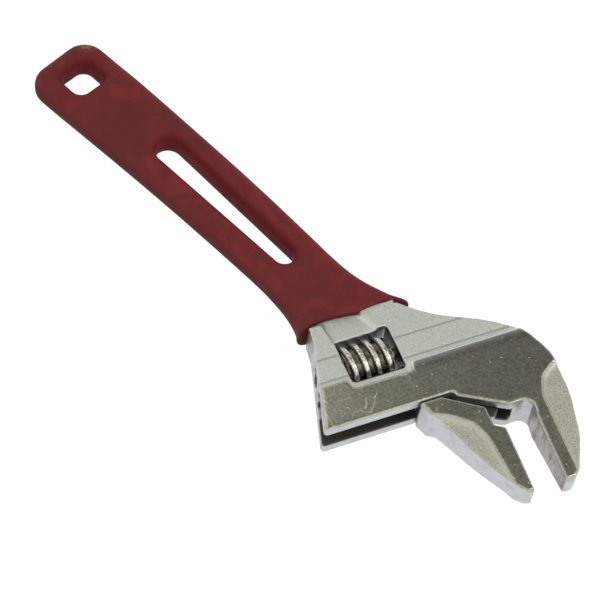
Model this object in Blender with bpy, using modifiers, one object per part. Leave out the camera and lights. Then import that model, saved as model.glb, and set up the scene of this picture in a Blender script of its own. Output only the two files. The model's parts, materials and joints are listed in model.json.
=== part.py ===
"""Adjustable wrench with a dipped sleeve on its handle. Lengths are in millimetres until placed; +Z is up.

The wrench lies on its side with its head towards +X. The handle is drawn along +X in the wrench's
own frame. The head is drawn in a frame of its own, turned about Z: U points out of the mouth along
the jaw faces, and V points along the slide, towards the fixed jaw.
"""

import math

import bmesh
import bpy
from mathutils import Matrix, Vector

MM = 0.001

# Clearances
GAP = 0.3
OVERCUT = 2.0

# Placement: the origin is the middle of the whole tool's box, at its bottom
FRAME_X = -85.20
FRAME_Y = 0.88
HEAD_X = 135.3
HEAD_Y = -1.9
HEAD_TURN = math.radians(-23.1)

# Head
HEAD_THICKNESS = 11.2
MID_Z = HEAD_THICKNESS / 2
TIP_THICKNESS = 6.8
WEDGE_START = 7.0
TIP_U = 31.5
RIM_BEVEL = 0.35
FORGED_STEP = 0.75
FORGED_FILLET = 1.3
PANEL_STEP = 1.9
PANEL_SLOPE = 1.4
JAW_RECESS = 1.2
RECESS_FILLET = 2.0
FILLET_STEPS = 3
POLISH_U = -10.2

# Jaws at rest
FIXED_FACE = 20.4
MOVING_FACE = 12.1
RELIEF_CENTRE = (11.1, 18.6)
RELIEF_RADIUS = 2.4

# Slide: a round rod and a flat web, in a bore and a slot
ROD_U = -8.3
ROD_RADIUS = 3.3
ROD_BOTTOM = -18.5
ROD_TOP = 14.0
WEB_THICKNESS = 4.45
SLOT_WIDTH = WEB_THICKNESS + 2 * GAP
SLOT_TOP = 16.6
SLOT_FACE = 1.0
END_OF_HEAD = -30.0

# Worm, its pin and its spring
WORM_U = -16.2
WORM_RADIUS = 5.5
WORM_BOTTOM = -17.7
WORM_TOP = -5.7
THREAD_PITCH = 3.0
THREAD_DEPTH = 1.1
CREST_WIDTH = 0.9
ROOT_WIDTH = 1.1
THREAD_STEPS = 24
WORM_CHAMFER = 0.7
FLANK_GAP = 0.2
RACK_TURNS = 14
PIN_RADIUS = 1.3
PIN_TOP = 0.5
PIN_HEAD_RADIUS = 2.3
PIN_HEAD_LENGTH = 1.6
PIN_HEAD_BOTTOM = -24.0
PIN_CHAMFER = 0.3
DRIVER_SLOT = (0.7, 0.8)
SPRING_RADIUS = 2.3
SPRING_WIRE = 0.18
SPRING_TURNS = 1.3
SPRING_POINTS = 14

# Window in the head for the thumb
WINDOW = (-22.0, -9.5, -18.2, -4.1)

# Handle core and sleeve
CORE_THICKNESS = 6.2
NECK_THICKNESS = 7.8
SLEEVE_WALL = 0.7
SLEEVE_THICKNESS = 8.6
MOUTH_THICKNESS = 10.5
EDGE_ROUNDING = 2.0
ROUNDING_STEPS = 3
HOLE_SHARE = 0.4
MOUTH_U = -27.8
FLARE_START = 84.0
FLARE_END = 110.0
END_X = -2.75
END_RADIUS = 5.0
SLEEVE_UPPER = (
    (22.0, 9.6), (57.0, 9.4), (80.0, 8.6), (92.5, 8.0), (99.0, 8.3), (105.0, 9.8), (111.3, 12.0),
)
SLEEVE_LOWER = (
    (14.0, -10.5), (30.0, -9.7), (52.0, -9.1), (78.0, -8.7), (88.0, -9.0), (95.0, -9.9), (100.4, -12.2),
)
SLOT_ENDS = (35.4, 83.8)
SLOT_HALF_WIDTHS = (4.1, 3.1)
ROUND_END_STEPS = 12
HANG_HOLE = (7.4, -0.7, 8.2, 9.6)


def clear_scene():
    """Empties the scene, and makes the two collections."""
    for obj in list(bpy.data.objects):
        bpy.data.objects.remove(obj)
    for name in ("adjustable_wrench", "cutters"):
        bpy.context.scene.collection.children.link(bpy.data.collections.new(name))


def metres(matrix):
    """The same placement, for a mesh drawn in millimetres."""
    return Matrix.Translation(matrix.to_translation() * MM) @ matrix.to_3x3().to_4x4()


WRENCH = Matrix.Translation((FRAME_X, FRAME_Y, 0))
HEAD = WRENCH @ Matrix.Translation((HEAD_X, HEAD_Y, 0)) @ Matrix.Rotation(HEAD_TURN, 4, "Z")
ALONG_V = Matrix.Rotation(-math.pi / 2, 4, "X")


def to_head(x, y):
    """A point of the wrench's frame, in the head's frame."""
    turned = Matrix.Rotation(-HEAD_TURN, 2) @ Vector((x - HEAD_X, y - HEAD_Y))
    return turned.x, turned.y


def add_object(name, mesh, frame, cutter=False):
    """An object of this mesh in its collection. A cutter is a guide that isn't rendered."""
    obj = bpy.data.objects.new(name, mesh)
    bpy.data.collections["cutters" if cutter else "adjustable_wrench"].objects.link(obj)
    obj.matrix_world = metres(frame)
    if cutter:
        obj.hide_render = True
        obj.display_type = "WIRE"
    return obj


def as_mesh(obj):
    """The object's evaluated mesh as a new object of the same name, closed and facing out."""
    name = obj.name
    obj.name = name + "_source"
    graph = bpy.context.evaluated_depsgraph_get()
    mesh = bpy.data.meshes.new_from_object(obj.evaluated_get(graph))
    made = bpy.data.objects.new(name, mesh)
    obj.users_collection[0].objects.link(made)
    made.matrix_world = obj.matrix_world
    made.hide_render = obj.hide_render
    made.display_type = obj.display_type
    bpy.data.objects.remove(obj)
    edit_mesh(made, lambda bm: None)
    return made


def edit_mesh(obj, change):
    """Welds the mesh, changes it with a function of its bmesh, and turns its faces out."""
    bm = bmesh.new()
    bm.from_mesh(obj.data)
    bmesh.ops.remove_doubles(bm, verts=bm.verts, dist=0.001 * MM)
    change(bm)
    bmesh.ops.recalc_face_normals(bm, faces=bm.faces)
    bm.to_mesh(obj.data)
    bm.free()


def join_flat_faces(bm):
    """Joins the triangles of each flat cap into one face."""
    bmesh.ops.dissolve_limit(bm, angle_limit=math.radians(0.5), verts=bm.verts, edges=bm.edges)


def flat_shape(name, outline, bottom, top, frame, cutter=False):
    """A flat outline extruded from bottom to top along the frame's Z, as a mesh."""
    curve = bpy.data.curves.new(name, "CURVE")
    curve.dimensions = "2D"
    curve.fill_mode = "BOTH"
    curve.extrude = (top - bottom) / 2 * MM
    spline = curve.splines.new("POLY")
    spline.points.add(len(outline) - 1)
    for point, (x, y) in zip(spline.points, outline):
        point.co = (x * MM, y * MM, 0, 1)
    spline.use_cyclic_u = True
    shape = as_mesh(add_object(name, curve, frame @ Matrix.Translation((0, 0, (top + bottom) / 2)), cutter))
    edit_mesh(shape, join_flat_faces)
    return shape


def rod(name, radius, bottom, top, frame, cutter=False, sides=32):
    """A round bar along the frame's Z."""
    mesh = bpy.data.meshes.new(name)
    bm = bmesh.new()
    bmesh.ops.create_cone(
        bm, cap_ends=True, segments=sides, radius1=radius * MM, radius2=radius * MM,
        depth=(top - bottom) * MM,
    )
    bm.to_mesh(mesh)
    bm.free()
    return add_object(name, mesh, frame @ Matrix.Translation((0, 0, (top + bottom) / 2)), cutter)


def boolean(obj, other, operation="DIFFERENCE"):
    modifier = obj.modifiers.new(f"{operation.lower()}_{other.name}", "BOOLEAN")
    modifier.operation = operation
    modifier.object = other


def merge(name, shapes):
    """One closed body from shapes that overlap. The first gives the frame."""
    for shape in shapes[1:]:
        boolean(shapes[0], shape, "UNION")
    shapes[0].name = name
    body = as_mesh(shapes[0])
    for shape in shapes[1:]:
        bpy.data.objects.remove(shape)
    return body


def along_slide(u):
    """A frame whose Z runs along V, at this U and at mid thickness."""
    return HEAD @ Matrix.Translation((u, 0, MID_Z)) @ ALONG_V


def rounded(corners, step=math.radians(15)):
    """An outline from corners (x, y) or (x, y, radius), with an arc at each corner that has a radius."""
    points = []
    for index, corner in enumerate(corners):
        here = Vector(corner[:2])
        if len(corner) == 2:
            points.append(tuple(here))
            continue
        before = (Vector(corners[index - 1][:2]) - here).normalized()
        after = (Vector(corners[(index + 1) % len(corners)][:2]) - here).normalized()
        half = before.angle(after) / 2
        reach = corner[2] / math.tan(half)
        centre = here + (before + after).normalized() * corner[2] / math.sin(half)
        start = here + before * reach - centre
        turn = (math.pi - 2 * half) * math.copysign(1, before.x * after.y - before.y * after.x) * -1
        count = max(1, round(abs(turn) / step))
        for part in range(count + 1):
            points.append(tuple(centre + Matrix.Rotation(turn * part / count, 2) @ start))
    return points


def smooth_line(points, steps=3):
    """Points along a Catmull-Rom curve through these points."""
    ends = [Vector(points[0]) * 2 - Vector(points[1])], [Vector(points[-1]) * 2 - Vector(points[-2])]
    knots = ends[0] + [Vector(point) for point in points] + ends[1]
    line = []
    for a, b, c, d in zip(knots, knots[1:], knots[2:], knots[3:]):
        for part in range(steps):
            t = part / steps
            line.append(tuple((b * 2 + (c - a) * t + (a * 2 - b * 5 + c * 4 - d) * t**2
                               + (b * 3 - a - c * 3 + d) * t**3) / 2))
    return line + [tuple(points[-1])]


def thin(obj, start, end, thickness_start, thickness_end, thickness_drawn):
    """Scales the shape's height about mid thickness, between two thicknesses at two places along X."""
    def change(bm):
        for at in (start, end):
            bmesh.ops.bisect_plane(
                bm,
                geom=bm.verts[:] + bm.edges[:] + bm.faces[:],
                plane_co=(at * MM, 0, 0),
                plane_no=(1, 0, 0),
            )
        for vert in bm.verts:
            share = (vert.co.x / MM - start) / (end - start)
            share = min(max(share, 0), 1)
            vert.co.z *= (thickness_start + (thickness_end - thickness_start) * share) / thickness_drawn

    edit_mesh(obj, change)


def wedge(obj):
    """Thins a head shape towards the jaw tips."""
    thin(obj, WEDGE_START, TIP_U, HEAD_THICKNESS, TIP_THICKNESS, HEAD_THICKNESS)


def bevel_rims(obj, width):
    """Bevels the rims round a flat shape's top and bottom."""
    def change(bm):
        rims = []
        for edge in bm.edges:
            level = abs(edge.verts[0].co.z - edge.verts[1].co.z) < 0.01 * MM
            if level and edge.calc_face_angle() > math.radians(80):
                rims.append(edge)
        bmesh.ops.bevel(bm, geom=rims, offset=width * MM, segments=1, profile=0.5, affect="EDGES")

    edit_mesh(obj, change)


def head_outline():
    """The forged head with its fixed jaw, from the jaw's tip round the back to the throat."""
    return rounded([
        (TIP_U, FIXED_FACE, 0.5), (TIP_U + 0.2, 22.4, 1.2), (29.4, 25.0, 4), (21.3, 28.9, 10),
        (10.0, 31.4, 20), (-1.5, 31.6, 14), (-10.1, 27.5, 8), (-15.5, 20.2, 20), (-20.5, 9.5, 20),
        (-24.8, 3.4, 20),
        (MOUTH_U + 0.3, 0.9), (MOUTH_U + 0.3, -22.6), (-24.5, -22.5, 12), (SLOT_FACE, END_OF_HEAD, 0.8),
        (SLOT_FACE, 3.6, 0.3), (2.4, 4.1, 0.6), (8.9, 15.6, 0.6),
        *relief_arc(), (14.0, FIXED_FACE, 1.0),
    ])


def relief_arc():
    """The round notch in the corner of the fixed jaw."""
    centre = Vector(RELIEF_CENTRE)
    return [
        tuple(centre + RELIEF_RADIUS * Vector((math.cos(angle), math.sin(angle))))
        for angle in (math.radians(185 - 20 * step) for step in range(7))
    ]


def forged_head():
    """The head's blank: flat, with thinner jaw tips."""
    head = flat_shape("head_blank", head_outline(), -MID_Z, MID_Z, HEAD)
    bevel_rims(head, RIM_BEVEL)
    wedge(head)
    head.matrix_world = metres(HEAD @ Matrix.Translation((0, 0, MID_Z)))
    return head


def inset(outline, distance):
    """The outline moved inwards by a distance, with mitred corners."""
    moved = []
    for before, here, after in zip(outline[-1:] + outline, outline, outline[1:] + outline[:1]):
        here = Vector(here)
        arriving = (here - Vector(before)).normalized().orthogonal()
        leaving = (Vector(after) - here).normalized().orthogonal()
        moved.append(tuple(here + (arriving + leaving) * distance / (1 + arriving.dot(leaving))))
    return moved


def loft(name, levels, frame, cutter=False):
    """A closed solid through levels (z, outlines), where outlines after the first are holes."""
    bm = bmesh.new()
    rows = []
    for z, outlines in levels:
        rows.append([[bm.verts.new((x * MM, y * MM, z * MM)) for x, y in outline] for outline in outlines])
    for low, high in zip(rows, rows[1:]):
        for lower, upper in zip(low, high):
            for index in range(len(lower)):
                bm.faces.new((lower[index - 1], lower[index], upper[index], upper[index - 1]))
    for row in (rows[0], rows[-1]):
        edges = [bm.edges.get((loop[index - 1], loop[index])) for loop in row for index in range(len(loop))]
        bmesh.ops.triangle_fill(bm, edges=edges, use_beauty=True)
    mesh = bpy.data.meshes.new(name)
    bm.to_mesh(mesh)
    bm.free()
    made = add_object(name, mesh, frame, cutter)
    edit_mesh(made, lambda bm: None)
    return made


def hollow_cutters(name, outline, depth, fillet, wedged=False):
    """Two cutters that take a depth off a head shape's top and bottom, with a fillet round the floor."""
    levels = [(MID_Z + OVERCUT, [outline])]
    for step in range(FILLET_STEPS + 1):
        angle = math.pi / 2 * step / FILLET_STEPS
        levels.append((MID_Z - depth * math.sin(angle), [inset(outline, fillet * (1 - math.cos(angle)))]))
    cutters = []
    for side, sign in (("top", 1), ("bottom", -1)):
        cutter = loft(
            f"{name}_{side}", [(sign * z, outlines) for z, outlines in levels],
            HEAD @ Matrix.Translation((0, 0, MID_Z)), True,
        )
        if wedged:
            wedge(cutter)
        cutters.append(cutter)
    return cutters


def sleeve_outline(margin, mouth_shift):
    """The sleeve's outline inset by a margin, in the wrench's frame. The mouth can be moved along U."""
    upper = smooth_line([(x, y - margin) for x, y in SLEEVE_UPPER])
    lower = smooth_line([(x, y + margin) for x, y in SLEEVE_LOWER])
    end = [
        (END_X + margin, SLEEVE_LOWER[0][1] + margin, END_RADIUS - margin),
        (END_X + margin, SLEEVE_UPPER[0][1] - margin, END_RADIUS - margin),
    ]
    forward = Vector((math.cos(HEAD_TURN), math.sin(HEAD_TURN)))
    lower_u = to_head(*lower[-1])[0]
    upper_u = to_head(*upper[-1])[0]
    mouth = [
        tuple(Vector(upper[-1]) + forward * (MOUTH_U + mouth_shift - upper_u)),
        tuple(Vector(lower[-1]) + forward * (MOUTH_U + mouth_shift - lower_u)),
    ]
    return rounded(end + upper[:-1] + mouth + lower[-2::-1])


def handle_slot(margin):
    """The tapered slot with round ends, wider by a margin all round."""
    (left, right), (wide, narrow) = SLOT_ENDS, SLOT_HALF_WIDTHS
    centres = (left + wide, right - narrow)
    lean = math.asin((wide - narrow) / (centres[1] - centres[0]))
    outline = []
    for centre, radius, first, last in (
        (centres[0], wide + margin, math.pi / 2 - lean, 3 * math.pi / 2 + lean),
        (centres[1], narrow + margin, lean - math.pi / 2, math.pi / 2 - lean),
    ):
        for part in range(ROUND_END_STEPS + 1):
            angle = first + (last - first) * part / ROUND_END_STEPS
            outline.append((centre + radius * math.cos(angle), radius * math.sin(angle)))
    return outline


def hang_hole(margin):
    """The hanging hole, wider by a margin all round."""
    x, y, width, height = HANG_HOLE
    half_x = width / 2 + margin
    half_y = height / 2 + margin
    radius = half_x * 0.95
    return rounded([
        (x - half_x, y - half_y, radius), (x + half_x, y - half_y, radius),
        (x + half_x, y + half_y, radius), (x - half_x, y + half_y, radius),
    ])


def handle_plate(name, margin, mouth_shift, thickness, mouth_thickness, cutter=False):
    """A handle-shaped plate with two holes and rounded rims, thicker at the head, inset by a margin."""
    rounding = EDGE_ROUNDING - margin
    levels = []
    for step in range(-ROUNDING_STEPS, ROUNDING_STEPS + 1):
        angle = math.pi / 2 * step / ROUNDING_STEPS
        straight = math.copysign(thickness / 2 - rounding, angle)
        levels.append((straight + rounding * math.sin(angle), rounding * (1 - math.cos(angle))))
        if step == 0:
            levels.append((-straight, 0))
    plate = loft(
        name,
        [(z, [sleeve_outline(margin + moved, mouth_shift), handle_slot(margin + moved * HOLE_SHARE),
              hang_hole(margin + moved * HOLE_SHARE)]) for z, moved in sorted(levels)],
        WRENCH @ Matrix.Translation((0, 0, MID_Z)), cutter,
    )
    thin(plate, FLARE_START, FLARE_END, thickness, mouth_thickness, thickness)
    return plate


def close_ends(bm):
    """Fills the open ends that a climbing screw leaves."""
    bmesh.ops.holes_fill(bm, edges=[edge for edge in bm.edges if edge.is_boundary])


def screw_thread(name, bottom, top, root, crest, crest_width, root_width, frame, cutter=False):
    """A right-handed threaded bar along the frame's Z, from a profile that climbs one pitch a turn."""
    flank = (THREAD_PITCH - crest_width - root_width) / 2
    profile = [(0, bottom)]
    for turn in range(round((top - bottom) / THREAD_PITCH)):
        low = bottom + turn * THREAD_PITCH
        profile += [
            (root, low), (root, low + root_width),
            (crest, low + root_width + flank), (crest, low + root_width + flank + crest_width),
        ]
    profile += [(root, top), (0, top)]
    mesh = bpy.data.meshes.new(name)
    points = [(x * MM, 0, z * MM) for x, z in reversed(profile)]
    mesh.from_pydata(points, [(i, i + 1) for i in range(len(points) - 1)], [])
    bar = add_object(name, mesh, frame, cutter)
    screw = bar.modifiers.new("climb", "SCREW")
    screw.steps = screw.render_steps = THREAD_STEPS
    screw.screw_offset = THREAD_PITCH * MM
    screw.use_merge_vertices = False
    bar = as_mesh(bar)
    edit_mesh(bar, close_ends)
    return bar


def turned_shape(name, profile, frame, cutter=False, steps=32):
    """A turned shape about the frame's Z. The profile runs from its top to its bottom."""
    mesh = bpy.data.meshes.new(name)
    points = [(x * MM, 0, z * MM) for x, z in profile]
    mesh.from_pydata(points, [(i, i + 1) for i in range(len(points) - 1)], [])
    obj = add_object(name, mesh, frame, cutter)
    screw = obj.modifiers.new("turn", "SCREW")
    screw.steps = screw.render_steps = steps
    screw.use_merge_vertices = True
    screw.merge_threshold = 0.0001 * MM
    return as_mesh(obj)


def make_body():
    """The forging: head, fixed jaw and handle core, with its bore, slot, window, hole and pockets."""
    core = handle_plate("core", SLEEVE_WALL + GAP, 6.0, CORE_THICKNESS, NECK_THICKNESS)
    head = forged_head()
    for cutter in (
        *hollow_cutters("rough_forging", rough_forging_outline(), FORGED_STEP, FORGED_FILLET),
        *hollow_cutters("thumb_panel", thumb_panel_outline(), PANEL_STEP, PANEL_SLOPE),
        *hollow_cutters("fixed_jaw_recess", fixed_jaw_recess_outline(), JAW_RECESS, RECESS_FILLET, True),
    ):
        boolean(head, cutter)
    left, right, low, high = WINDOW
    window = rounded([(left, low, 0.8), (right, low, 0.8), (right, high, 0.8), (left, high, 0.8)])
    cutters = [
        flat_shape("window", window, -OVERCUT, HEAD_THICKNESS + OVERCUT, HEAD, True),
        flat_shape(
            "slide_slot",
            [(ROD_U, END_OF_HEAD - 8), (12, END_OF_HEAD - 8), (12, SLOT_TOP), (ROD_U, SLOT_TOP)],
            MID_Z - SLOT_WIDTH / 2, MID_Z + SLOT_WIDTH / 2, HEAD, True,
        ),
        rod("rod_bore", ROD_RADIUS + GAP, END_OF_HEAD - 8, SLOT_TOP, along_slide(ROD_U), True),
        rod("pin_hole", PIN_RADIUS + GAP, -40, PIN_TOP + GAP, along_slide(WORM_U), True, 24),
        rod("pin_head_seat", PIN_HEAD_RADIUS + GAP, -40, PIN_HEAD_BOTTOM + PIN_HEAD_LENGTH + GAP,
            along_slide(WORM_U), True, 24),
    ]
    for cutter in cutters:
        boolean(head, cutter)
    return merge("wrench_body", [head, core])


def rough_forging_outline():
    """The part of the head left as forged, behind the polished strip."""
    left, right, low, high = WINDOW
    return rounded([
        (POLISH_U, 40), (-40, 40), (-40, -40), (POLISH_U, -40), (POLISH_U, low - 1.4, 0.8),
        (right + 2.0, low - 0.6, 0.8), (right + 2.0, high + 0.6, 0.8), (POLISH_U, high + 1.4, 0.8),
    ])


def thumb_panel_outline():
    """The lower panel that lets the thumb reach the worm."""
    return [(-17.5, -4.4), (-40, -14.2), (-40, -21.5), (-17.5, -18.0)]


def fixed_jaw_recess_outline():
    """The rough hollow on the back of the fixed jaw, open to its outer edge."""
    return rounded([
        (1.2, 40), (1.2, 30.6), (4.0, 26.2, 3.5), (9.0, 24.1, 6.0), (29.5, 24.1, 2.4), (40, 26.5), (40, 40),
    ])


def make_sleeve():
    """The soft sleeve: a shell all round the core, open at the head, lining both holes."""
    sleeve = handle_plate("handle_sleeve", 0, 6.0, SLEEVE_THICKNESS, MOUTH_THICKNESS)
    inner = CORE_THICKNESS + 2 * GAP
    cavity = handle_plate("sleeve_cavity", SLEEVE_WALL, 12.0, inner, NECK_THICKNESS + 2 * GAP, cutter=True)
    mouth = flat_shape(
        "sleeve_mouth", [(MOUTH_U, -60), (40, -60), (40, 60), (MOUTH_U, 60)],
        -OVERCUT, HEAD_THICKNESS + OVERCUT, HEAD, True,
    )
    boolean(sleeve, cavity)
    boolean(sleeve, mouth)
    return sleeve


def moving_jaw_outline():
    """The moving jaw from its tip round its back to the shoulder on the slide."""
    left = SLOT_FACE + GAP
    return rounded([
        (TIP_U, MOVING_FACE, 0.5), (13.9, MOVING_FACE, 0.8), (12.4, 9.5, 0.8), (7.4, 9.5, 0.8), (left, 0.3),
        (left, -5.4), (5.2, -3.9, 0.6), (6.8, -2.2, 1.5), (19.8, 3.3, 40), (29.6, 8.8, 3),
        (TIP_U, 11.0, 0.8),
    ])


def moving_jaw_recess_outline():
    """The rough hollow on the moving jaw, open to its outer edge."""
    return rounded([
        (4.4, -10), (40, -10), (40, 6), (30.4, 8.4, 2.4), (15.5, 7.0, 6), (10.6, 5.0, 4),
        (6.9, 0.2, 4), (4.4, -4.9),
    ])


def make_jaw():
    """The moving jaw: its head, its web in the slot, and its toothed rod in the bore."""
    jaw = flat_shape("jaw_head", moving_jaw_outline(), -MID_Z, MID_Z, HEAD)
    bevel_rims(jaw, RIM_BEVEL)
    wedge(jaw)
    jaw.matrix_world = metres(HEAD @ Matrix.Translation((0, 0, MID_Z)))
    outline = moving_jaw_recess_outline()
    for cutter in hollow_cutters("moving_jaw_recess", outline, JAW_RECESS, RECESS_FILLET, True):
        boolean(jaw, cutter)
    web_outline = [
        (ROD_U, -5.0), (2.0, -5.0), (9.2, 9.0), (9.2, 11.4), (7.4, 13.4), (5.4, ROD_TOP), (ROD_U, ROD_TOP),
    ]
    web = flat_shape("web", web_outline, MID_Z - WEB_THICKNESS / 2, MID_Z + WEB_THICKNESS / 2, HEAD)
    bar = rod("bar", ROD_RADIUS, ROD_BOTTOM, ROD_TOP, along_slide(ROD_U))
    jaw = merge("movable_jaw", [jaw, web, bar])
    rack_cutter = screw_thread(
        "rack_cutter", WORM_BOTTOM - RACK_TURNS * THREAD_PITCH + FLANK_GAP,
        WORM_BOTTOM + RACK_TURNS * THREAD_PITCH + FLANK_GAP,
        WORM_RADIUS - THREAD_DEPTH + GAP, WORM_RADIUS + GAP,
        CREST_WIDTH + 2 * FLANK_GAP, ROOT_WIDTH - 2 * FLANK_GAP, along_slide(WORM_U), True,
    )
    boolean(jaw, rack_cutter)
    return jaw


def make_worm():
    """The thumb worm: a threaded barrel with chamfered ends and a bore for its pin."""
    worm = screw_thread(
        "adjusting_worm", WORM_BOTTOM - THREAD_PITCH, WORM_TOP + THREAD_PITCH,
        WORM_RADIUS - THREAD_DEPTH, WORM_RADIUS, CREST_WIDTH, ROOT_WIDTH, along_slide(WORM_U),
    )
    small = WORM_RADIUS - WORM_CHAMFER
    large = WORM_RADIUS + GAP
    slope = WORM_CHAMFER + GAP
    barrel = turned_shape(
        "worm_barrel",
        [(0, WORM_TOP), (small, WORM_TOP), (large, WORM_TOP - slope),
         (large, WORM_BOTTOM + slope), (small, WORM_BOTTOM), (0, WORM_BOTTOM)],
        along_slide(WORM_U), True,
    )
    boolean(worm, barrel, "INTERSECT")
    bore = rod("worm_bore", PIN_RADIUS + GAP, WORM_BOTTOM - OVERCUT, WORM_TOP + OVERCUT,
               along_slide(WORM_U), True, 24)
    boolean(worm, bore)
    return worm


def make_pin():
    """The worm's pin, screwed in from the head's end face, with a slotted head."""
    head_top = PIN_HEAD_BOTTOM + PIN_HEAD_LENGTH
    pin = turned_shape(
        "worm_pin",
        [(0, PIN_TOP), (PIN_RADIUS - PIN_CHAMFER, PIN_TOP), (PIN_RADIUS, PIN_TOP - PIN_CHAMFER),
         (PIN_RADIUS, head_top), (PIN_HEAD_RADIUS, head_top),
         (PIN_HEAD_RADIUS, PIN_HEAD_BOTTOM + PIN_CHAMFER),
         (PIN_HEAD_RADIUS - PIN_CHAMFER, PIN_HEAD_BOTTOM), (0, PIN_HEAD_BOTTOM)],
        along_slide(WORM_U), steps=24,
    )
    half = DRIVER_SLOT[0] / 2
    reach = PIN_HEAD_RADIUS + OVERCUT
    slot = flat_shape(
        "screwdriver_slot", [(-reach, -half), (reach, -half), (reach, half), (-reach, half)],
        PIN_HEAD_BOTTOM - OVERCUT, PIN_HEAD_BOTTOM + DRIVER_SLOT[1], along_slide(WORM_U), True,
    )
    boolean(pin, slot)
    return pin


def make_spring():
    """The small coil spring on the pin, between the worm and the window's wall."""
    low = WORM_TOP + GAP + SPRING_WIRE
    high = WINDOW[3] - GAP - SPRING_WIRE
    curve = bpy.data.curves.new("worm_spring", "CURVE")
    curve.dimensions = "3D"
    curve.bevel_depth = SPRING_WIRE * MM
    curve.bevel_resolution = 1
    curve.use_fill_caps = True
    spline = curve.splines.new("POLY")
    count = round(SPRING_TURNS * SPRING_POINTS)
    spline.points.add(count)
    for index, point in enumerate(spline.points):
        share = index / count
        angle = 2 * math.pi * SPRING_TURNS * share
        x = SPRING_RADIUS * math.cos(angle)
        y = SPRING_RADIUS * math.sin(angle)
        point.co = (x * MM, y * MM, (low + (high - low) * share) * MM, 1)
    return as_mesh(add_object("worm_spring", curve, along_slide(WORM_U)))


def set_origin(obj, frame):
    """Moves the object's origin and axes to a frame, leaving its shape where it is."""
    placed = metres(frame)
    obj.data.transform(placed.inverted() @ obj.matrix_world)
    obj.matrix_world = placed


def give_material(obj, colour, roughness, metallic):
    material = bpy.data.materials.new(obj.name)
    material.use_nodes = True
    shader = material.node_tree.nodes["Principled BSDF"]
    shader.inputs["Base Color"].default_value = (*colour, 1)
    shader.inputs["Roughness"].default_value = roughness
    shader.inputs["Metallic"].default_value = metallic
    material.diffuse_color = (*colour, 1)
    obj.data.materials.clear()
    obj.data.materials.append(material)


def smooth(obj):
    obj.data.shade_smooth()
    obj.data.set_sharp_from_angle(angle=math.radians(30))


def main():
    clear_scene()
    body = make_body()
    sleeve = make_sleeve()
    jaw = make_jaw()
    worm = make_worm()
    pin = make_pin()
    spring = make_spring()
    set_origin(jaw, along_slide(ROD_U))
    for obj, colour, roughness, metallic in (
        (body, (0.45, 0.46, 0.42), 0.35, 1.0),
        (sleeve, (0.22, 0.025, 0.028), 0.55, 0.0),
        (jaw, (0.42, 0.43, 0.40), 0.35, 1.0),
        (worm, (0.35, 0.34, 0.32), 0.3, 1.0),
        (pin, (0.3, 0.3, 0.3), 0.35, 1.0),
        (spring, (0.5, 0.5, 0.5), 0.3, 1.0),
    ):
        give_material(obj, colour, roughness, metallic)
        smooth(obj)


main()
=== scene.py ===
"""Looks of the adjustable wrench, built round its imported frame.

Lengths are in millimetres until a mesh is made.
"""

import json
import math

import bpy
import numpy as np
import openvdb
from mathutils import Matrix, Vector


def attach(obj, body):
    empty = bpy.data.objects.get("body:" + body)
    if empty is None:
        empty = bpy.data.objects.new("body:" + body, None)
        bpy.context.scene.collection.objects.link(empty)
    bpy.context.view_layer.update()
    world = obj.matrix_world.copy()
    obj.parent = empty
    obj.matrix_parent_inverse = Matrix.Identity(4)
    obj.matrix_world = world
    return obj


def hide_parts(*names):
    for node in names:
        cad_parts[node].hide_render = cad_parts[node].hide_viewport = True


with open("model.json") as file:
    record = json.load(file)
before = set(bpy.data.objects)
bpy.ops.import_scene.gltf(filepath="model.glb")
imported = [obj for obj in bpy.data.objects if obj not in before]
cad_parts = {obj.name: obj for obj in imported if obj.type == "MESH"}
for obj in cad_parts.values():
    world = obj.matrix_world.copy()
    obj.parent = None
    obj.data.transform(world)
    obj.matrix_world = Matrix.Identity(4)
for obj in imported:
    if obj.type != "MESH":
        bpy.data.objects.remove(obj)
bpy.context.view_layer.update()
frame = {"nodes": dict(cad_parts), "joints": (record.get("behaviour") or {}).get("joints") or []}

MM = 0.001
VOXEL = 0.22
SLEEVE_VOXEL = 0.35
CORE_VOXEL = 0.6

# The head's frame: U points out of the mouth and V runs along the slide.
# The handle's frame has X towards the head.
WORM_U = -16.2
WORM_V = -11.7
HEAD_IN_HANDLE = (135.3, -1.9)
MID_Z = 5.6

# Head and jaw
HEAD_BOX = ((-37, -33, -1), (34, 34, 12.5))
JAW_BOX = ((-14, -21, -1), (34, 17, 12.5))
HEAD_FILLET = 0.35
JAW_FILLET = 0.3
SURFACE_REACH = 0.6
WEDGE_START = 7.0
WEDGE_END = 31.5
HALF_AT_ROOT = 5.6
HALF_AT_TIP = 3.4
TIP_CHAMFER = 0.8
EDGE = 0.1
NECK_CUT = -36.0
NECK_HALF = 4.85
NECK_U = -27.4
NECK_REACH = 1.0
NECK_V = -9.55
NECK_WIDTH = 9.85
PANEL_DROP = 1.15
PANEL_WALLS = ((-20.0, -19.3), (-8.4, -9.8))
CREASES = (-11.9, -18.0)
CREASE_DEPTH = 0.16
CREASE_WIDTH = 0.3
POLISH_U = -10.2
FEATHER_WIDTH = 2.4
HATCH_WIDTH = 4.5
SCRATCH_SETS = ((0.5, 0.17, 0.0), (1.9, 0.13, 3.1), (2.6, 0.23, 7.7))
WINDOW_HALF = 6.6
WINDOW_END_V = -3.7

# Core of the handle
CORE_BOX = ((-150, -70, -1), (-30, 60, 12))
CORE_CUT = -34.0
CORE_MARGIN = 2.2

# Worm
WORM_RADIUS = 5.58
WORM_BOTTOM = -17.7
WORM_TOP = -5.7
THREAD_PITCH = 3.0
THREAD_DEPTH = 1.1
ROOT_SHARE = 0.37
FLANK_SHARE = 0.16
BORE_RADIUS = 1.6
BORE_CHAMFER = 0.3
END_CHAMFER = 0.7
WORM_TURNS = 120

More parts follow.
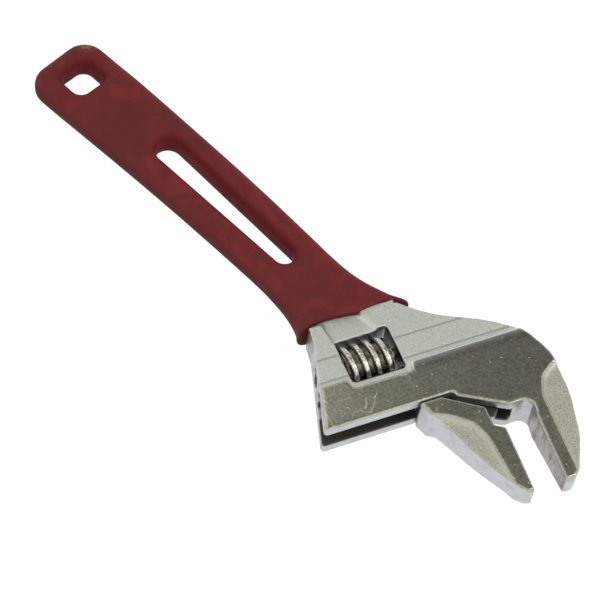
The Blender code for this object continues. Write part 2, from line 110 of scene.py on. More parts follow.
# Sleeve
SLEEVE_BOX = ((-5, -18, -0.6), (122, 17.5, 11.8))
SLEEVE_UPPER = (
    (9.0, 9.75), (22.0, 10.1), (57.0, 9.95), (80.0, 9.15), (92.5, 8.55),
    (99.0, 8.9), (105.0, 10.3), (112.0, 12.7), (120.0, 15.5),
)
SLEEVE_LOWER = (
    (8.0, -11.15), (16.0, -10.8), (30.0, -10.2), (52.0, -9.55), (78.0, -9.4),
    (88.0, -9.9), (95.0, -11.1), (100.4, -13.4), (106.0, -16.4),
)
END_CORNERS = ((-1.9, -11.4, 5.2), (-2.45, 9.45, 6.0))
SLEEVE_HALF = 4.35
MOUTH_HALF = 5.3
FLARE_START = 84.0
FLARE_END = 110.0
EDGE_ROUNDING = 3.8
SPREAD = 0.25
RIM_ROUNDING = 3.6
WALL = 1.0
LIP_ROUNDING = 0.9
LIP_LENGTH = 2.0
MOUTH_LINE = (
    (-32.0, -25.0), (-26.5, -25.6), (-25.0, -27.4), (-22.0, -28.1), (-17.3, -28.5), (-12.5, -28.1),
    (-9.1, -27.6), (-5.5, -28.1), (-2.1, -28.6), (0.5, -28.2), (2.7, -27.2), (8.0, -26.4),
)
BEAD_HEIGHT = 0.28
BEAD_PLACE = 0.9
BEAD_WIDTH = 0.8
SLOT_ENDS = (35.5, 83.6)
SLOT_HALF_WIDTHS = (3.35, 2.5)
SLOT_SHIFTS = (0.5, -0.1)
HANG_HOLE = (7.35, -0.6, 8.3, 9.1)
HANG_CORNER = 2.5
SCUFF = (0.3, 6.8)
SCUFF_SPREAD = 3.0

# Stage
FLOOR_HALF = 4.0
FLOOR_Z = -0.0002
DARK_SIDE = (-0.22, 0.50, 0.84)
DARK_EDGE = (math.radians(34), math.radians(12))
CAMERA_HEIGHT = math.radians(57.28672)
CAMERA_ROLL = math.radians(9.33639)
CAMERA_TURN = math.radians(37.0057)
CAMERA_PLACE = (294.128, -273.147, 527.843)

SLIDE = Vector(next(joint for joint in frame["joints"] if joint["name"] == "jaw_slide")["axis"]).normalized()
WORM_AT = Vector(next(joint for joint in frame["joints"] if joint["name"] == "worm_spin")["pos_m"])
OUT = SLIDE.cross(Vector((0, 0, 1)))
HEAD_ORIGIN = WORM_AT - (OUT * WORM_U + SLIDE * WORM_V) * MM
HEAD_ORIGIN.z = 0
HEAD_AXES = np.array((OUT, SLIDE, (0, 0, 1)))
HANDLE_ORIGIN = np.array(HEAD_ORIGIN) - np.array((*HEAD_IN_HANDLE, 0)) * MM


def to_head(points):
    """World points in metres, as head points in millimetres."""
    return (points - np.array(HEAD_ORIGIN)) @ HEAD_AXES.T / MM


def from_head(points):
    return points * MM @ HEAD_AXES + np.array(HEAD_ORIGIN)


def from_handle(points):
    return points * MM + HANDLE_ORIGIN


# Meshes


def mesh_arrays(obj):
    """The corner points and triangles of an object's mesh, welded."""
    mesh = obj.data
    mesh.calc_loop_triangles()
    points = np.empty(len(mesh.vertices) * 3)
    mesh.vertices.foreach_get("co", points)
    triangles = np.empty(len(mesh.loop_triangles) * 3, np.int32)
    mesh.loop_triangles.foreach_get("vertices", triangles)
    points, welded = np.unique(np.round(points.reshape(-1, 3), 7), axis=0, return_inverse=True)
    triangles = welded.reshape(-1)[triangles].reshape(-1, 3)
    a, b, c = triangles.T
    return points, triangles[(a != b) & (b != c) & (c != a)]


def add_mesh(name, points, faces):
    """A smooth-shaded object from points in metres. Its faces are turned out."""
    mesh = bpy.data.meshes.new(name)
    mesh.from_pydata(points.tolist(), [], faces)
    mesh.validate()
    obj = bpy.data.objects.new(name, mesh)
    bpy.context.scene.collection.objects.link(obj)
    mesh.shade_smooth()
    return obj


def as_grid(points, triangles, quads, voxel, reach):
    return openvdb.FloatGrid.createLevelSetFromPolygons(
        points.astype(np.float32),
        triangles=triangles.astype(np.uint32),
        quads=quads.astype(np.uint32),
        transform=openvdb.createLinearTransform(voxel),
        halfWidth=reach / voxel + 2,
    )


def moved_surface(surface, distance, voxel):
    """The surface moved outwards by a distance, which rounds the corners that it moves away from."""
    return as_grid(*surface, voxel, abs(distance)).convertToPolygons(isovalue=distance, adaptivity=0)


def rounded_surface(surface, voxel, edge, fillet):
    """The surface with its outer edges and its inner corners rounded."""
    surface = moved_surface(surface, -edge, voxel)
    surface = moved_surface(surface, edge + fillet, voxel)
    return moved_surface(surface, -fillet, voxel)


def axes_of(low, high, voxel):
    """The first index of a box of voxels, and the places along each axis."""
    low = np.floor(np.array(low) / voxel).astype(int)
    high = np.ceil(np.array(high) / voxel).astype(int)
    places = np.ogrid[tuple(slice(start, end) for start, end in zip(low, high))]
    return tuple(int(index) for index in low), *(place * voxel for place in places)


def surface_of(values, low, voxel):
    """The surface where the values cross zero."""
    limit = 3 * voxel
    grid = openvdb.FloatGrid(limit)
    grid.copyFromArray(np.clip(values, -limit, limit).astype(np.float32), ijk=low)
    grid.transform = openvdb.createLinearTransform(voxel)
    points, triangles, quads = grid.convertToPolygons(isovalue=0, adaptivity=0)
    return points.astype(float), triangles, quads


def face_list(surface):
    _, triangles, quads = surface
    return triangles.tolist() + quads.tolist()


def vertex_normals(obj):
    normals = np.empty(len(obj.data.vertices) * 3)
    obj.data.vertices.foreach_get("normal", normals)
    return normals.reshape(-1, 3)


def vertex_points(obj):
    points = np.empty(len(obj.data.vertices) * 3)
    obj.data.vertices.foreach_get("co", points)
    return points.reshape(-1, 3)


def add_mask(obj, name, values):
    mask = obj.data.attributes.new(name, "FLOAT", "POINT")
    mask.data.foreach_set("value", np.clip(values, 0, 1).astype(np.float32))


def smooth_step(low, high, values):
    share = np.clip((values - low) / (high - low), 0, 1)
    return share * share * (3 - 2 * share)


def half_thickness(u):
    """Half the thickness of a head shape's polished faces at U."""
    share = np.clip((u - WEDGE_START) / (WEDGE_END - WEDGE_START), 0, 1)
    return HALF_AT_ROOT + (HALF_AT_TIP - HALF_AT_ROOT) * share


def mark_finish(obj):
    """Marks how each part of a forged piece is finished.

    Returns each point's share of a crease, signed by the side it is on.
    """
    u, v, z = to_head(vertex_points(obj)).T
    normals = vertex_normals(obj) @ HEAD_AXES.T
    up = np.abs(normals[:, 2])
    depth = half_thickness(u) - np.abs(z - MID_Z)
    polish = smooth_step(0.35, 0.2, depth) * smooth_step(0.35, 0.75, up)
    rough = smooth_step(0.5, 0.68, depth) * smooth_step(1.35, 1.0, depth) * smooth_step(0.8, 0.95, up)
    rough = rough * (u < -10)
    crease = sum(np.exp(-(((u - at) / CREASE_WIDTH) ** 2)) for at in CREASES) * rough
    add_mask(obj, "polish", polish)
    add_mask(obj, "cast", smooth_step(0.5, 0.7, depth) * smooth_step(0.75, 0.95, up))
    # The crease mask also paints shade into the creases' colour.
    add_mask(obj, "crease", crease)
    add_mask(obj, "wall", smooth_step(0.6, 0.25, up))
    add_mask(obj, "dull", smooth_step(0.92, 0.99, -normals[:, 1]))
    # Pale brushing beside the polished border: partly brushing marks, partly a painted highlight.
    add_mask(obj, "brushing_highlight", polish * smooth_step(FEATHER_WIDTH, 0.0, u - POLISH_U) * smooth_step(-9, -5, v))
    # Painted shade: marks the slot floors deep in the head and the window's end wall, which sit in shade.
    inner = smooth_step(2.2, 2.5, depth) * smooth_step(0.5, 0.9, up)
    end_wall = (np.abs(u - WORM_U) < WINDOW_HALF) * (np.abs(v - WINDOW_END_V) < 0.7)
    end_wall = end_wall * smooth_step(0.6, 0.3, up)
    add_mask(obj, "inner", np.maximum(inner, end_wall))
    # Toward the jaws the colour turns darker and warmer: partly the steel's tint, partly a painted reflection
    # of the sloping jaw faces.
    add_mask(obj, "jaws", smooth_step(-8, -2, u))
    add_mask(obj, "hatch", polish * smooth_step(HATCH_WIDTH, 0.0, u - POLISH_U) * smooth_step(-4, 0, v))
    add_mask(obj, "handled", polish * smooth_step(2, -8, v))
    return crease * np.sign(normals[:, 2])


def refined(node, fillet, box):
    """Distances to a forged node's surface on a grid, with soft edges, fillets and chamfered jaw tips."""
    points, triangles = mesh_arrays(frame["nodes"][node])
    surface = rounded_surface((to_head(points), triangles, np.empty((0, 4))), VOXEL, EDGE, fillet)
    low, u, v, z = axes_of(*box, VOXEL)
    values = np.empty(np.broadcast_shapes(u.shape, v.shape, z.shape), np.float32)
    as_grid(*surface, VOXEL, SURFACE_REACH).copyToArray(values, ijk=low)
    chamfer = (u + np.abs(z - MID_Z) - WEDGE_END - HALF_AT_TIP + TIP_CHAMFER) / math.sqrt(2)
    return np.maximum(values, chamfer), low, u, v, z


def make_head():
    """The forging's head, from a little way inside the sleeve."""
    values, low, u, v, z = refined("wrench_body", HEAD_FILLET, HEAD_BOX)
    panel = smooth_step(*PANEL_WALLS[0], v) * smooth_step(*PANEL_WALLS[1], v)
    neck_half = NECK_HALF - PANEL_DROP * panel
    neck = np.maximum(np.abs(u - NECK_U) - NECK_REACH, np.abs(v - NECK_V) - NECK_WIDTH)
    neck = np.maximum(np.abs(z - MID_Z) - neck_half, neck)
    surface = surface_of(np.maximum(np.minimum(values, neck), NECK_CUT - u), low, VOXEL)
    head = add_mesh("forged_head", from_head(surface[0]), face_list(surface))
    groove = mark_finish(head)
    points = vertex_points(head)
    points[:, 2] -= groove * CREASE_DEPTH * MM
    head.data.vertices.foreach_set("co", points.astype(np.float32).ravel())
    head.data.update()
    return head


def make_jaw():
    """The moving jaw, with its stem and rack."""
    values, low, *_ = refined("movable_jaw", JAW_FILLET, JAW_BOX)
    surface = surface_of(values, low, VOXEL)
    jaw = add_mesh("wide_jaw", from_head(surface[0]), face_list(surface))
    mark_finish(jaw)
    return jaw


def make_core():
    """The flat steel core that the sleeve hides, kept clear of the sleeve's rounded rims."""
    points, triangles = mesh_arrays(frame["nodes"]["wrench_body"])
    grid = as_grid(to_head(points), triangles, np.empty((0, 4)), CORE_VOXEL, 1)
    low, u, v, z = axes_of(*CORE_BOX, CORE_VOXEL)
    values = np.empty(np.broadcast_shapes(u.shape, v.shape, z.shape), np.float32)
    grid.copyToArray(values, ijk=low)
    flat_u, flat_v = np.broadcast_arrays(u, v)
    place = np.stack((flat_u, flat_v), -1) @ HEAD_AXES[:2, :2] + HEAD_IN_HANDLE
    to_opening = opening_distance(place[..., 0], place[..., 1])
    values = np.maximum(np.maximum(values, u - CORE_CUT), CORE_MARGIN - to_opening)
    surface = surface_of(values, low, CORE_VOXEL)
    return add_mesh("handle_core", from_head(surface[0]), face_list(surface))


def make_worm():
    """The thumb worm as one smooth screw surface, in step with the rack."""
    rows = 110
    height = np.linspace(WORM_BOTTOM, WORM_TOP, rows)[:, None]
    angle = np.linspace(0, 2 * math.pi, WORM_TURNS, endpoint=False)[None, :]
    place = ((height - WORM_BOTTOM) / THREAD_PITCH - angle / (2 * math.pi)) % 1
    rise = smooth_step(ROOT_SHARE - 0.02, ROOT_SHARE + FLANK_SHARE + 0.02, place)
    fall = smooth_step(1.0, 1 - FLANK_SHARE - 0.02, place)
    crest = rise * fall
    radius = WORM_RADIUS - THREAD_DEPTH * (1 - crest)
    to_end = np.minimum(height - WORM_BOTTOM, WORM_TOP - height)
    radius = np.minimum(radius, WORM_RADIUS - END_CHAMFER + to_end)
    rings = [(radius, height)]
    for ring_height, ring_radius in (
        (WORM_TOP, BORE_RADIUS + BORE_CHAMFER),
        (WORM_TOP - BORE_CHAMFER, BORE_RADIUS),
        (WORM_BOTTOM + BORE_CHAMFER, BORE_RADIUS),
        (WORM_BOTTOM, BORE_RADIUS + BORE_CHAMFER),
    ):
        rings.append((np.full((1, WORM_TURNS), ring_radius), np.full((1, 1), ring_height)))
    points = []
    for ring_radius, ring_height in rings:
        u = WORM_U + ring_radius * np.cos(angle)
        z = MID_Z - ring_radius * np.sin(angle)
        points.append(np.stack(np.broadcast_arrays(u, ring_height, z), -1).reshape(-1, 3))
    points = np.concatenate(points)
    count = len(points) // WORM_TURNS
    faces = []
    for row in range(count):
        here = row * WORM_TURNS
        above = (row + 1) % count * WORM_TURNS
        for step in range(WORM_TURNS):
            side = (step + 1) % WORM_TURNS
            faces.append((here + step, above + step, above + side, here + side))
    worm = add_mesh("thumb_worm", from_head(points), faces)
    worm.data.set_sharp_from_angle(angle=math.radians(50))
    crests = np.zeros(len(points))
    crest_share = smooth_step(WORM_RADIUS - THREAD_DEPTH, WORM_RADIUS - 0.1, radius)
    crests[: rows * WORM_TURNS] = crest_share.ravel()
    add_mask(worm, "crest", crests)
    return worm


# Sleeve


def rounded(corners, step=math.radians(15)):
    """An outline from corners (x, y) or (x, y, radius), with an arc at each corner that has a radius."""
    points = []
    for index, corner in enumerate(corners):
        here = Vector(corner[:2])
        if len(corner) == 2:
            points.append(tuple(here))
            continue
        before = (Vector(corners[index - 1][:2]) - here).normalized()
        after = (Vector(corners[(index + 1) % len(corners)][:2]) - here).normalized()
        half = before.angle(after) / 2
        centre = here + (before + after).normalized() * corner[2] / math.sin(half)
        start = here + before * corner[2] / math.tan(half) - centre
        turn = (math.pi - 2 * half) * math.copysign(1, before.x * after.y - before.y * after.x) * -1
        count = max(1, round(abs(turn) / step))
        for part in range(count + 1):
            points.append(tuple(centre + Matrix.Rotation(turn * part / count, 2) @ start))
    return points


def smooth_line(points, steps=4):
    """Points along a Catmull-Rom curve through these points."""
    first = Vector(points[0]) * 2 - Vector(points[1])
    last = Vector(points[-1]) * 2 - Vector(points[-2])
    knots = [first] + [Vector(point) for point in points] + [last]
    line = []
    for a, b, c, d in zip(knots, knots[1:], knots[2:], knots[3:]):
        for part in range(steps):
            t = part / steps
            line.append(tuple((b * 2 + (c - a) * t + (a * 2 - b * 5 + c * 4 - d) * t**2
                               + (b * 3 - a - c * 3 + d) * t**3) / 2))
    return line + [tuple(points[-1])]


def distance_to(outline, x, y):
    """The distance of each place to a closed outline, negative inside it."""
    nearest = np.full(x.shape, np.inf)
    inside = np.zeros(x.shape, bool)
    for (ax, ay), (bx, by) in zip(outline, outline[1:] + outline[:1]):
        dx, dy = bx - ax, by - ay
        along = np.clip(((x - ax) * dx + (y - ay) * dy) / (dx * dx + dy * dy), 0, 1)
        nearest = np.minimum(nearest, np.hypot(x - ax - along * dx, y - ay - along * dy))
        if ay != by:
            inside ^= ((ay > y) != (by > y)) & (x < ax + (y - ay) * dx / dy)
    return np.where(inside, -nearest, nearest)


def smooth_max(a, b, reach):
    blend = np.maximum(reach - np.abs(a - b), 0) / reach
    return np.maximum(a, b) + blend * blend * reach / 4


def slot_outline():
    """The tapered slot with round ends."""
    (left, right), (wide, narrow) = SLOT_ENDS, SLOT_HALF_WIDTHS
    centres = (left + wide, right - narrow)
    lean = math.asin((wide - narrow) / (centres[1] - centres[0]))
    outline = []
    for centre, radius, first, last in ((centres[0], wide, math.pi / 2 - lean, 3 * math.pi / 2 + lean),
                                        (centres[1], narrow, lean - math.pi / 2, math.pi / 2 - lean)):
        for angle in np.linspace(first, last, 13):
            x = centre + radius * math.cos(angle)
            outline.append((x, radius * math.sin(angle) + float(np.interp(x, SLOT_ENDS, SLOT_SHIFTS))))
    return outline


def hole_outline():
    x, y, width, height = HANG_HOLE
    return rounded([(x + sx * width / 2, y + sy * height / 2, HANG_CORNER)
                    for sx, sy in ((-1, -1), (1, -1), (1, 1), (-1, 1))])


def opening_distance(x, y):
    """The distance to the slot or the hole, whichever is nearer."""
    return np.minimum(distance_to(slot_outline(), x, y), distance_to(hole_outline(), x, y))


def sleeve_surface():
    """The sleeve's skin: rounded all over, with a bead and a lip at its mouth, and a hollow for the core."""
    outline = rounded([*END_CORNERS, *smooth_line(SLEEVE_UPPER), *smooth_line(SLEEVE_LOWER)[::-1]])
    low, x, y, z = axes_of(*SLEEVE_BOX, SLEEVE_VOXEL)
    flat_x, flat_y = np.broadcast_arrays(x, y)
    shift = np.stack((flat_x - HEAD_IN_HANDLE[0], flat_y - HEAD_IN_HANDLE[1]), -1) @ HEAD_AXES[:2, :2].T
    mouth = shift[..., 0] - np.interp(shift[..., 1], *zip(*MOUTH_LINE))
    bead = BEAD_HEIGHT * np.exp(-(((mouth + BEAD_PLACE) / BEAD_WIDTH) ** 2))
    half = SLEEVE_HALF + (MOUTH_HALF - SLEEVE_HALF) * smooth_step(FLARE_START, FLARE_END, x) + bead
    across = distance_to(outline, flat_x, flat_y) - SPREAD - bead + EDGE_ROUNDING
    above = np.abs(z - MID_Z) - half + EDGE_ROUNDING
    corner = np.hypot(np.maximum(across, 0), np.maximum(above, 0))
    skin = np.minimum(np.maximum(across, above), 0) + corner - EDGE_ROUNDING
    solid = smooth_max(skin, -opening_distance(flat_x, flat_y), RIM_ROUNDING)
    skin = smooth_max(solid, mouth + 0 * z, LIP_ROUNDING)
    hollow = np.maximum(solid + WALL + bead, mouth + LIP_LENGTH)
    return surface_of(np.maximum(skin, -hollow), low, SLEEVE_VOXEL)


def make_sleeve():
    """The dipped sleeve, marked where it lines an opening, where it turns down for painted shade, and where it
    is scuffed.
    """
    surface = sleeve_surface()
    sleeve = add_mesh("dipped_sleeve", from_handle(surface[0]), face_list(surface))
    x, y, z = surface[0].T
    up = vertex_normals(sleeve)[:, 2]
    to_opening = opening_distance(x, y)
    lining = smooth_step(3.4, 0.4, to_opening) * smooth_step(1.0, 0.6, up)
    add_mask(sleeve, "lining", lining)
    # Painted shade: sides that turn down are painted darker.
    add_mask(sleeve, "side", smooth_step(0.7, 0.0, up) * (1 - lining))
    to_scuff = (x - SCUFF[0]) ** 2 + (y - SCUFF[1]) ** 2
    add_mask(sleeve, "scuff", np.exp(-to_scuff / SCUFF_SPREAD) * (z > MID_Z))
    return sleeve


# Materials


class Shader:
    """A short way to write a material's nodes."""

    def __init__(self, name):
        self.material = bpy.data.materials.new(name)
        self.material.use_nodes = True
        self.tree = self.material.node_tree
        self.surface = self.tree.nodes["Principled BSDF"]
        place = self.tree.nodes.new("ShaderNodeTexCoord")
        mapping = self.tree.nodes.new("ShaderNodeMapping")
        mapping.inputs["Scale"].default_value = (1 / MM,) * 3
        self.tree.links.new(place.outputs["Object"], mapping.inputs["Vector"])
        self.place = mapping.outputs["Vector"]

    def fill(self, node, inputs):
        """Sets or links a node's inputs. A key such as _6 is a socket's number, and any other its name."""
        for key, value in inputs.items():
            socket = node.inputs[int(key[1:]) if key[0] == "_" else key.replace("_", " ")]
            if isinstance(value, bpy.types.NodeSocket):
                self.tree.links.new(value, socket)
            else:
                socket.default_value = value

    def add(self, kind, output, settings=None, **inputs):
        node = self.tree.nodes.new("ShaderNode" + kind)
        for key, value in (settings or {}).items():
            setattr(node, key, value)
        self.fill(node, inputs)
        return node.outputs[output]

    def noise(self, scale, detail=2.0, roughness=0.5, place=None, distortion=0.0):
        return self.add("TexNoise", 0, Vector=place or self.place, Scale=scale, Detail=detail,
                        Roughness=roughness, Distortion=distortion)

    def stretched(self, scale, turn):
        turned = self.add("VectorRotate", 0, {"rotation_type": "Z_AXIS"}, Vector=self.place, Angle=turn)
        return self.add("Mapping", 0, Vector=turned, Scale=scale)

    def ramp(self, value, low, high, to_low=0.0, to_high=1.0):
        return self.add("MapRange", 0, {"interpolation_type": "SMOOTHSTEP"}, Value=value,
                        From_Min=low, From_Max=high, To_Min=to_low, To_Max=to_high)

    def math(self, operation, a, b):
        return self.add("Math", 0, {"operation": operation}, _0=a, _1=b)

    def mask(self, name):
        return self.add("Attribute", 2, {"attribute_name": name})

    def mix(self, share, a, b):
        return self.add("Mix", 2, {"data_type": "RGBA"}, _0=share, _6=a, _7=b)

    def bump(self, height, strength, distance, normal=None):
        inputs = {"Height": height, "Strength": strength, "Distance": distance * MM}
        if normal is not None:
            inputs["Normal"] = normal
        return self.add("Bump", 0, **inputs)

    def set(self, **inputs):
        self.fill(self.surface, inputs)


def blasted_colour(shader, grain):
    """Blasted hollows, cooler and paler at the neck than on the jaws, partly as a painted reflection, with
    bright grains and painted shade in the creases.
    """
    # Darker toward the jaws: partly tint, partly painted reflection.
    jaws = shader.mask("jaws")
    low = shader.mix(jaws, (0.45, 0.47, 0.42, 1), (0.31, 0.315, 0.26, 1))
    high = shader.mix(jaws, (0.61, 0.63, 0.565, 1), (0.54, 0.54, 0.445, 1))
    colour = shader.mix(shader.ramp(grain, 0.36, 0.66), low, high)
    sparkle = shader.ramp(shader.noise(7.5, 2, 0.5), 0.62, 0.74, 0, 0.4)
    colour = shader.mix(sparkle, colour, (0.80, 0.77, 0.60, 1))
    # Painted shade: the creases are darkened in colour as well as dented.
    crease = shader.math("MULTIPLY", shader.mask("crease"), 0.6)
    return shader.mix(crease, colour, (0.20, 0.20, 0.18, 1))


def ground_colour(shader, cloudy):
    """Ground side walls, and the duller working face of each jaw."""
    bright = shader.mix(shader.ramp(cloudy, 0.45, 0.72), (0.51, 0.52, 0.545, 1), (0.43, 0.43, 0.44, 1))
    rubbed = shader.noise(0.8, 4, 0.65, shader.stretched((1.0, 1.0, 0.25), 0.0))
    dull = shader.mix(shader.ramp(rubbed, 0.40, 0.64), (0.36, 0.36, 0.33, 1), (0.19, 0.175, 0.16, 1))
    return shader.mix(shader.mask("dull"), bright, dull)


def band_colour(shader, cloudy):
    """The slopes and edges between one finish and the next."""
    # Darker toward the jaws: partly tint, partly painted reflection.
    colour = shader.mix(shader.mask("jaws"), (0.56, 0.57, 0.54, 1), (0.42, 0.42, 0.37, 1))
    return shader.mix(shader.ramp(cloudy, 0.4, 0.7, 0, 0.5), colour, (0.42, 0.41, 0.37, 1))


def polished_colour(shader, marks):
    """Polished faces, tarnished all over, brushed dark beside their border, and brushed pale there with a
    painted highlight.
    """
    broad = shader.ramp(shader.noise(0.12, 3, 0.55), 0.4, 0.65, 0, 0.6)
    colour = shader.mix(broad, (0.36, 0.365, 0.29, 1), (0.30, 0.305, 0.24, 1))
    tarnish = shader.noise(1.5, 4, 0.7)
    colour = shader.mix(shader.ramp(tarnish, 0.5, 0.66, 0, 0.35), colour, (0.60, 0.60, 0.50, 1))
    colour = shader.mix(shader.ramp(tarnish, 0.5, 0.36, 0, 0.45), colour, (0.13, 0.13, 0.10, 1))
    streaks = shader.noise(1.0, 3, 0.6, shader.stretched((5.0, 0.8, 1.0), 0.15))
    dark = shader.math("MULTIPLY", shader.mask("hatch"), shader.ramp(streaks, 0.3, 0.62, 0.15, 0.9))
    colour = shader.mix(dark, colour, (0.10, 0.10, 0.08, 1))
    # Painted highlight: the pale brushing beside the border is partly brushing marks, partly a painted
    # reflection.
    pale = shader.math("MULTIPLY", shader.mask("brushing_highlight"), shader.ramp(streaks, 0.3, 0.6, 0.45, 1.0))
    colour = shader.mix(pale, colour, (0.62, 0.63, 0.60, 1))
    return shader.mix(marks, colour, (1.0, 0.99, 0.86, 1))


def wear_marks(shader):
    """Specks all over, and long thin scratches that are denser where the tool is handled."""
    specks = shader.ramp(shader.add("TexVoronoi", 0, Vector=shader.place, Scale=0.5), 0.12, 0.05)
    scratches = None
    for turn, scale, seed in SCRATCH_SETS:
        line = shader.noise(scale, 0, 0.5, shader.stretched((1.0, 0.6, seed), turn))
        line = shader.math("ABSOLUTE", shader.math("SUBTRACT", line, 0.5), 0.0)
        piece = shader.noise(0.22, 1, 0.5, shader.stretched((0.8, 1.0, 1.0 + seed), turn))
        line = shader.math("MULTIPLY", shader.ramp(line, 0.009, 0.003), shader.ramp(piece, 0.52, 0.59))
        scratches = line if scratches is None else shader.math("MAXIMUM", scratches, line)
    scratches = shader.math("MULTIPLY", scratches, shader.ramp(shader.mask("handled"), 0, 1, 0.1, 1))
    return shader.math("MAXIMUM", shader.math("MULTIPLY", specks, 0.5), shader.math("MULTIPLY", scratches, 0.4))


def forged_material(name):
    """Steel with polished faces, blasted hollows, ground walls, and painted shade, with a little oil, inside
    the recesses.
    """
    shader = Shader(name)
    polish = shader.mask("polish")
    cast = shader.mask("cast")
    grain = shader.noise(3.6, 3, 0.6)
    cloudy = shader.noise(0.45, 4, 0.6)
    marks = wear_marks(shader)

    colour = shader.mix(shader.mask("wall"), band_colour(shader, cloudy), ground_colour(shader, cloudy))
    colour = shader.mix(cast, colour, blasted_colour(shader, grain))
    colour = shader.mix(polish, colour, polished_colour(shader, marks))
    # Painted shade, with a little oil: the recesses are painted near black where shade falls.
    recess_shade = shader.math("MULTIPLY", shader.mask("inner"), 0.9)
    colour = shader.mix(recess_shade, colour, (0.035, 0.033, 0.03, 1))

    roughness = shader.math("ADD", 0.34, shader.math("MULTIPLY", cast, 0.22))
    roughness = shader.math("SUBTRACT", roughness, shader.math("MULTIPLY", polish, 0.08))
    roughness = shader.math("ADD", roughness, shader.math("MULTIPLY", marks, 0.35))
    roughness = shader.math("ADD", roughness, shader.math("MULTIPLY", cloudy, 0.08))

    sand = shader.math("ADD", grain, shader.math("MULTIPLY", shader.noise(7.5, 2, 0.5), 0.6))
    lines = shader.noise(1.0, 2, 0.6, shader.stretched((0.25, 6.0, 2.0), 0.4))
    normal = shader.bump(lines, 0.06, 0.02)
    normal = shader.bump(shader.math("MULTIPLY", sand, cast), 0.5, 0.12, normal)
    normal = shader.bump(marks, 0.3, 0.03, normal)
    shader.set(Base_Color=colour, Metallic=1.0, Roughness=roughness, Normal=normal)
    return shader.material


def worm_material():
    """Turned steel: bright worn crests over grooves painted near black as shade."""
    shader = Shader("worm_steel_look")
    crest = shader.mask("crest")
    patches = shader.noise(0.9, 4, 0.65, distortion=0.6)
    worn = shader.math("MULTIPLY", shader.ramp(crest, 0.35, 0.85), shader.ramp(patches, 0.3, 0.6, 0.6, 1.0))
    # Painted shade: the grooves' colour is near black, standing in for the shade in them.
    groove = shader.mix(shader.ramp(patches, 0.4, 0.65), (0.07, 0.063, 0.052, 1), (0.20, 0.18, 0.15, 1))
    stain = shader.ramp(shader.noise(1.8, 3), 0.4, 0.65)
    bright = shader.mix(stain, (0.80, 0.79, 0.72, 1), (0.50, 0.45, 0.36, 1))
    normal = shader.bump(shader.noise(2.2, 3, 0.6), 0.35, 0.12)
    shader.set(Base_Color=shader.mix(worn, groove, bright), Metallic=1.0,
               Roughness=shader.ramp(patches, 0.3, 0.7, 0.2, 0.45), Normal=normal)
    return shader.material


def plain_steel(name, colour, roughness):
    """Turned steel for the small hidden pieces, with fine tool marks."""
    shader = Shader(name)
    tint = shader.noise(1.2, 3, 0.6)
    dark = tuple(part * 0.6 for part in colour)
    normal = shader.bump(shader.noise(1.0, 2, 0.5, shader.stretched((0.4, 8.0, 0.4), 0.4)), 0.15, 0.03)
    shader.set(Base_Color=shader.mix(shader.ramp(tint, 0.35, 0.7), (*colour, 1), (*dark, 1)), Metallic=1.0,
               Roughness=shader.ramp(tint, 0.3, 0.7, roughness, roughness + 0.15), Normal=normal)
    return shader.material


def sleeve_material():
    """Matte dipped vinyl: brick red, mottled, and dirtier in broad patches."""
    shader = Shader("dipped_vinyl_look")
    mottle = shader.noise(0.16, 5, 0.62, distortion=0.4)
    patches = shader.noise(0.045, 3, 0.5)
    freckle = shader.noise(1.6, 3, 0.6)
    colour = shader.mix(shader.ramp(mottle, 0.34, 0.68), (0.113, 0.018, 0.020, 1), (0.156, 0.024, 0.025, 1))
    colour = shader.mix(shader.ramp(patches, 0.48, 0.66, 0, 0.6), colour, (0.088, 0.020, 0.018, 1))
    # Painted shade: the sides that turn down get a darker colour.
    colour = shader.mix(shader.mask("side"), colour, (0.082, 0.013, 0.0135, 1))
    colour = shader.mix(shader.mask("lining"), colour, (0.124, 0.013, 0.0165, 1))
    colour = shader.mix(shader.ramp(freckle, 0.58, 0.74, 0, 0.35), colour, (0.065, 0.012, 0.012, 1))
    worn = shader.math("MULTIPLY", shader.mask("scuff"), shader.ramp(freckle, 0.42, 0.6, 0.15, 1))
    colour = shader.mix(shader.math("MULTIPLY", worn, 0.8), colour, (0.36, 0.23, 0.17, 1))
    normal = shader.bump(shader.noise(0.5, 2), 0.25, 0.25)
    normal = shader.bump(shader.noise(3.0, 3, 0.6), 0.3, 0.05, normal)
    shader.set(Base_Color=colour, Roughness=shader.ramp(mottle, 0.3, 0.7, 0.52, 0.66), Normal=normal)
    shader.set(Specular_IOR_Level=0.05)
    return shader.material


def dress(obj, material):
    obj.data.materials.clear()
    obj.data.materials.append(material)


# Stage


def add_floor():
    """A pale sheet that gives off some light of its own, so that it takes hardly any shadow."""
    mesh = bpy.data.meshes.new("floor")
    corners = [(x * FLOOR_HALF, y * FLOOR_HALF, FLOOR_Z) for x, y in ((-1, -1), (1, -1), (1, 1), (-1, 1))]
    mesh.from_pydata(corners, [], [(0, 1, 2, 3)])
    floor = bpy.data.objects.new("floor", mesh)
    bpy.context.scene.collection.objects.link(floor)
    shader = Shader("floor_paper")
    paper = shader.mix(shader.noise(0.01, 2), (0.14, 0.14, 0.14, 1), (0.15, 0.15, 0.15, 1))
    shader.set(Base_Color=paper, Roughness=0.9)
    shader.set(Specular_IOR_Level=0.0, Emission_Color=(1, 1, 1, 1), Emission_Strength=0.94)
    dress(floor, shader.material)


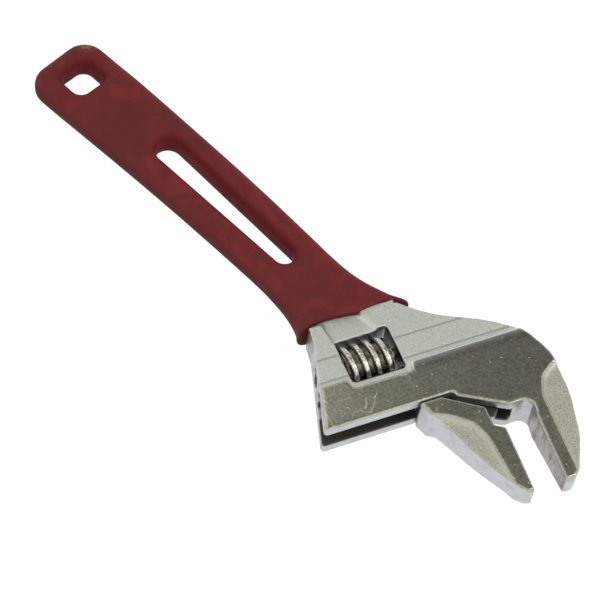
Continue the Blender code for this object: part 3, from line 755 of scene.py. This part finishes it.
def add_sky():
    """Even white light from all round, with one dark side for the polished steel to mirror."""
    world = bpy.data.worlds.new("studio")
    bpy.context.scene.world = world
    world.use_nodes = True
    tree = world.node_tree
    background = tree.nodes["Background"]
    direction = tree.nodes.new("ShaderNodeTexCoord").outputs["Generated"]
    facing = tree.nodes.new("ShaderNodeVectorMath")
    facing.operation = "DOT_PRODUCT"
    facing.inputs[1].default_value = Vector(DARK_SIDE).normalized()
    tree.links.new(direction, facing.inputs[0])
    share = tree.nodes.new("ShaderNodeMapRange")
    share.interpolation_type = "SMOOTHSTEP"
    share.inputs["From Min"].default_value = math.cos(DARK_EDGE[0])
    share.inputs["From Max"].default_value = math.cos(DARK_EDGE[1])
    share.inputs["To Min"].default_value = 1.0
    share.inputs["To Max"].default_value = 0.10
    tree.links.new(facing.outputs["Value"], share.inputs["Value"])
    tree.links.new(share.outputs["Result"], background.inputs["Color"])
    background.inputs["Strength"].default_value = 1.12


def add_light(name, place, target, size, power):
    """A round soft light at a place in metres, turned to a target."""
    light = bpy.data.lights.new(name, "AREA")
    light.shape = "DISK"
    light.size = size
    light.energy = power
    obj = bpy.data.objects.new(name, light)
    bpy.context.scene.collection.objects.link(obj)
    obj.location = place
    obj.rotation_euler = (Vector(target) - Vector(place)).to_track_quat("-Z", "Y").to_euler()


def add_camera():
    """The view: from the mouth's side, well above the tool, with the camera rolled a little."""
    turn = Matrix.Rotation(CAMERA_TURN, 3, "Z")
    level = Vector((1, 0, 0))
    rising = Vector((0, math.sin(CAMERA_HEIGHT), math.cos(CAMERA_HEIGHT)))
    back = turn @ Vector((0, -math.cos(CAMERA_HEIGHT), math.sin(CAMERA_HEIGHT)))
    right = turn @ (level * math.cos(CAMERA_ROLL) + rising * math.sin(CAMERA_ROLL))
    up = turn @ (rising * math.cos(CAMERA_ROLL) - level * math.sin(CAMERA_ROLL))
    data = bpy.data.cameras.new("camera")
    data.lens = 150
    data.sensor_width = 36
    data.clip_end = 10
    camera = bpy.data.objects.new("camera", data)
    bpy.context.scene.collection.objects.link(camera)
    camera.matrix_world = Matrix((right, up, back)).transposed().to_4x4()
    camera.location = Vector(from_handle(np.array(CAMERA_PLACE)))
    bpy.context.scene.camera = camera


def main():
    head = make_head()
    jaw = make_jaw()
    core = make_core()
    worm = make_worm()
    sleeve = make_sleeve()
    dress(head, forged_material("forged_steel_look"))
    dress(jaw, forged_material("jaw_steel_look"))
    dress(core, plain_steel("core_steel_look", (0.45, 0.45, 0.44), 0.4))
    dress(worm, worm_material())
    dress(sleeve, sleeve_material())
    dress(frame["nodes"]["worm_pin"], plain_steel("pin_steel_look", (0.42, 0.41, 0.40), 0.35))
    dress(frame["nodes"]["worm_spring"], plain_steel("spring_steel_look", (0.6, 0.6, 0.6), 0.25))
    for piece, body, node, slot in (
        (head, "frame", "wrench_body", "forged_steel"),
        (core, "frame", "wrench_body", "forged_steel"),
        (jaw, "jaw", "movable_jaw", "jaw_steel"),
        (worm, "worm", "adjusting_worm", "worm_steel"),
        (sleeve, "frame", "handle_sleeve", "dipped_vinyl"),
    ):
        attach(piece, body)
        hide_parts(node)
    add_floor()
    add_sky()
    add_light("key", (0.9, 0.5, 1.0), (0, 0, 0), 0.5, 4.0)
    add_light("near", (-0.15, 0.086, 0.40), (0.037, -0.019, 0.011), 0.16, 0.11)
    add_camera()
    bpy.context.scene.view_settings.view_transform = "Standard"


main()
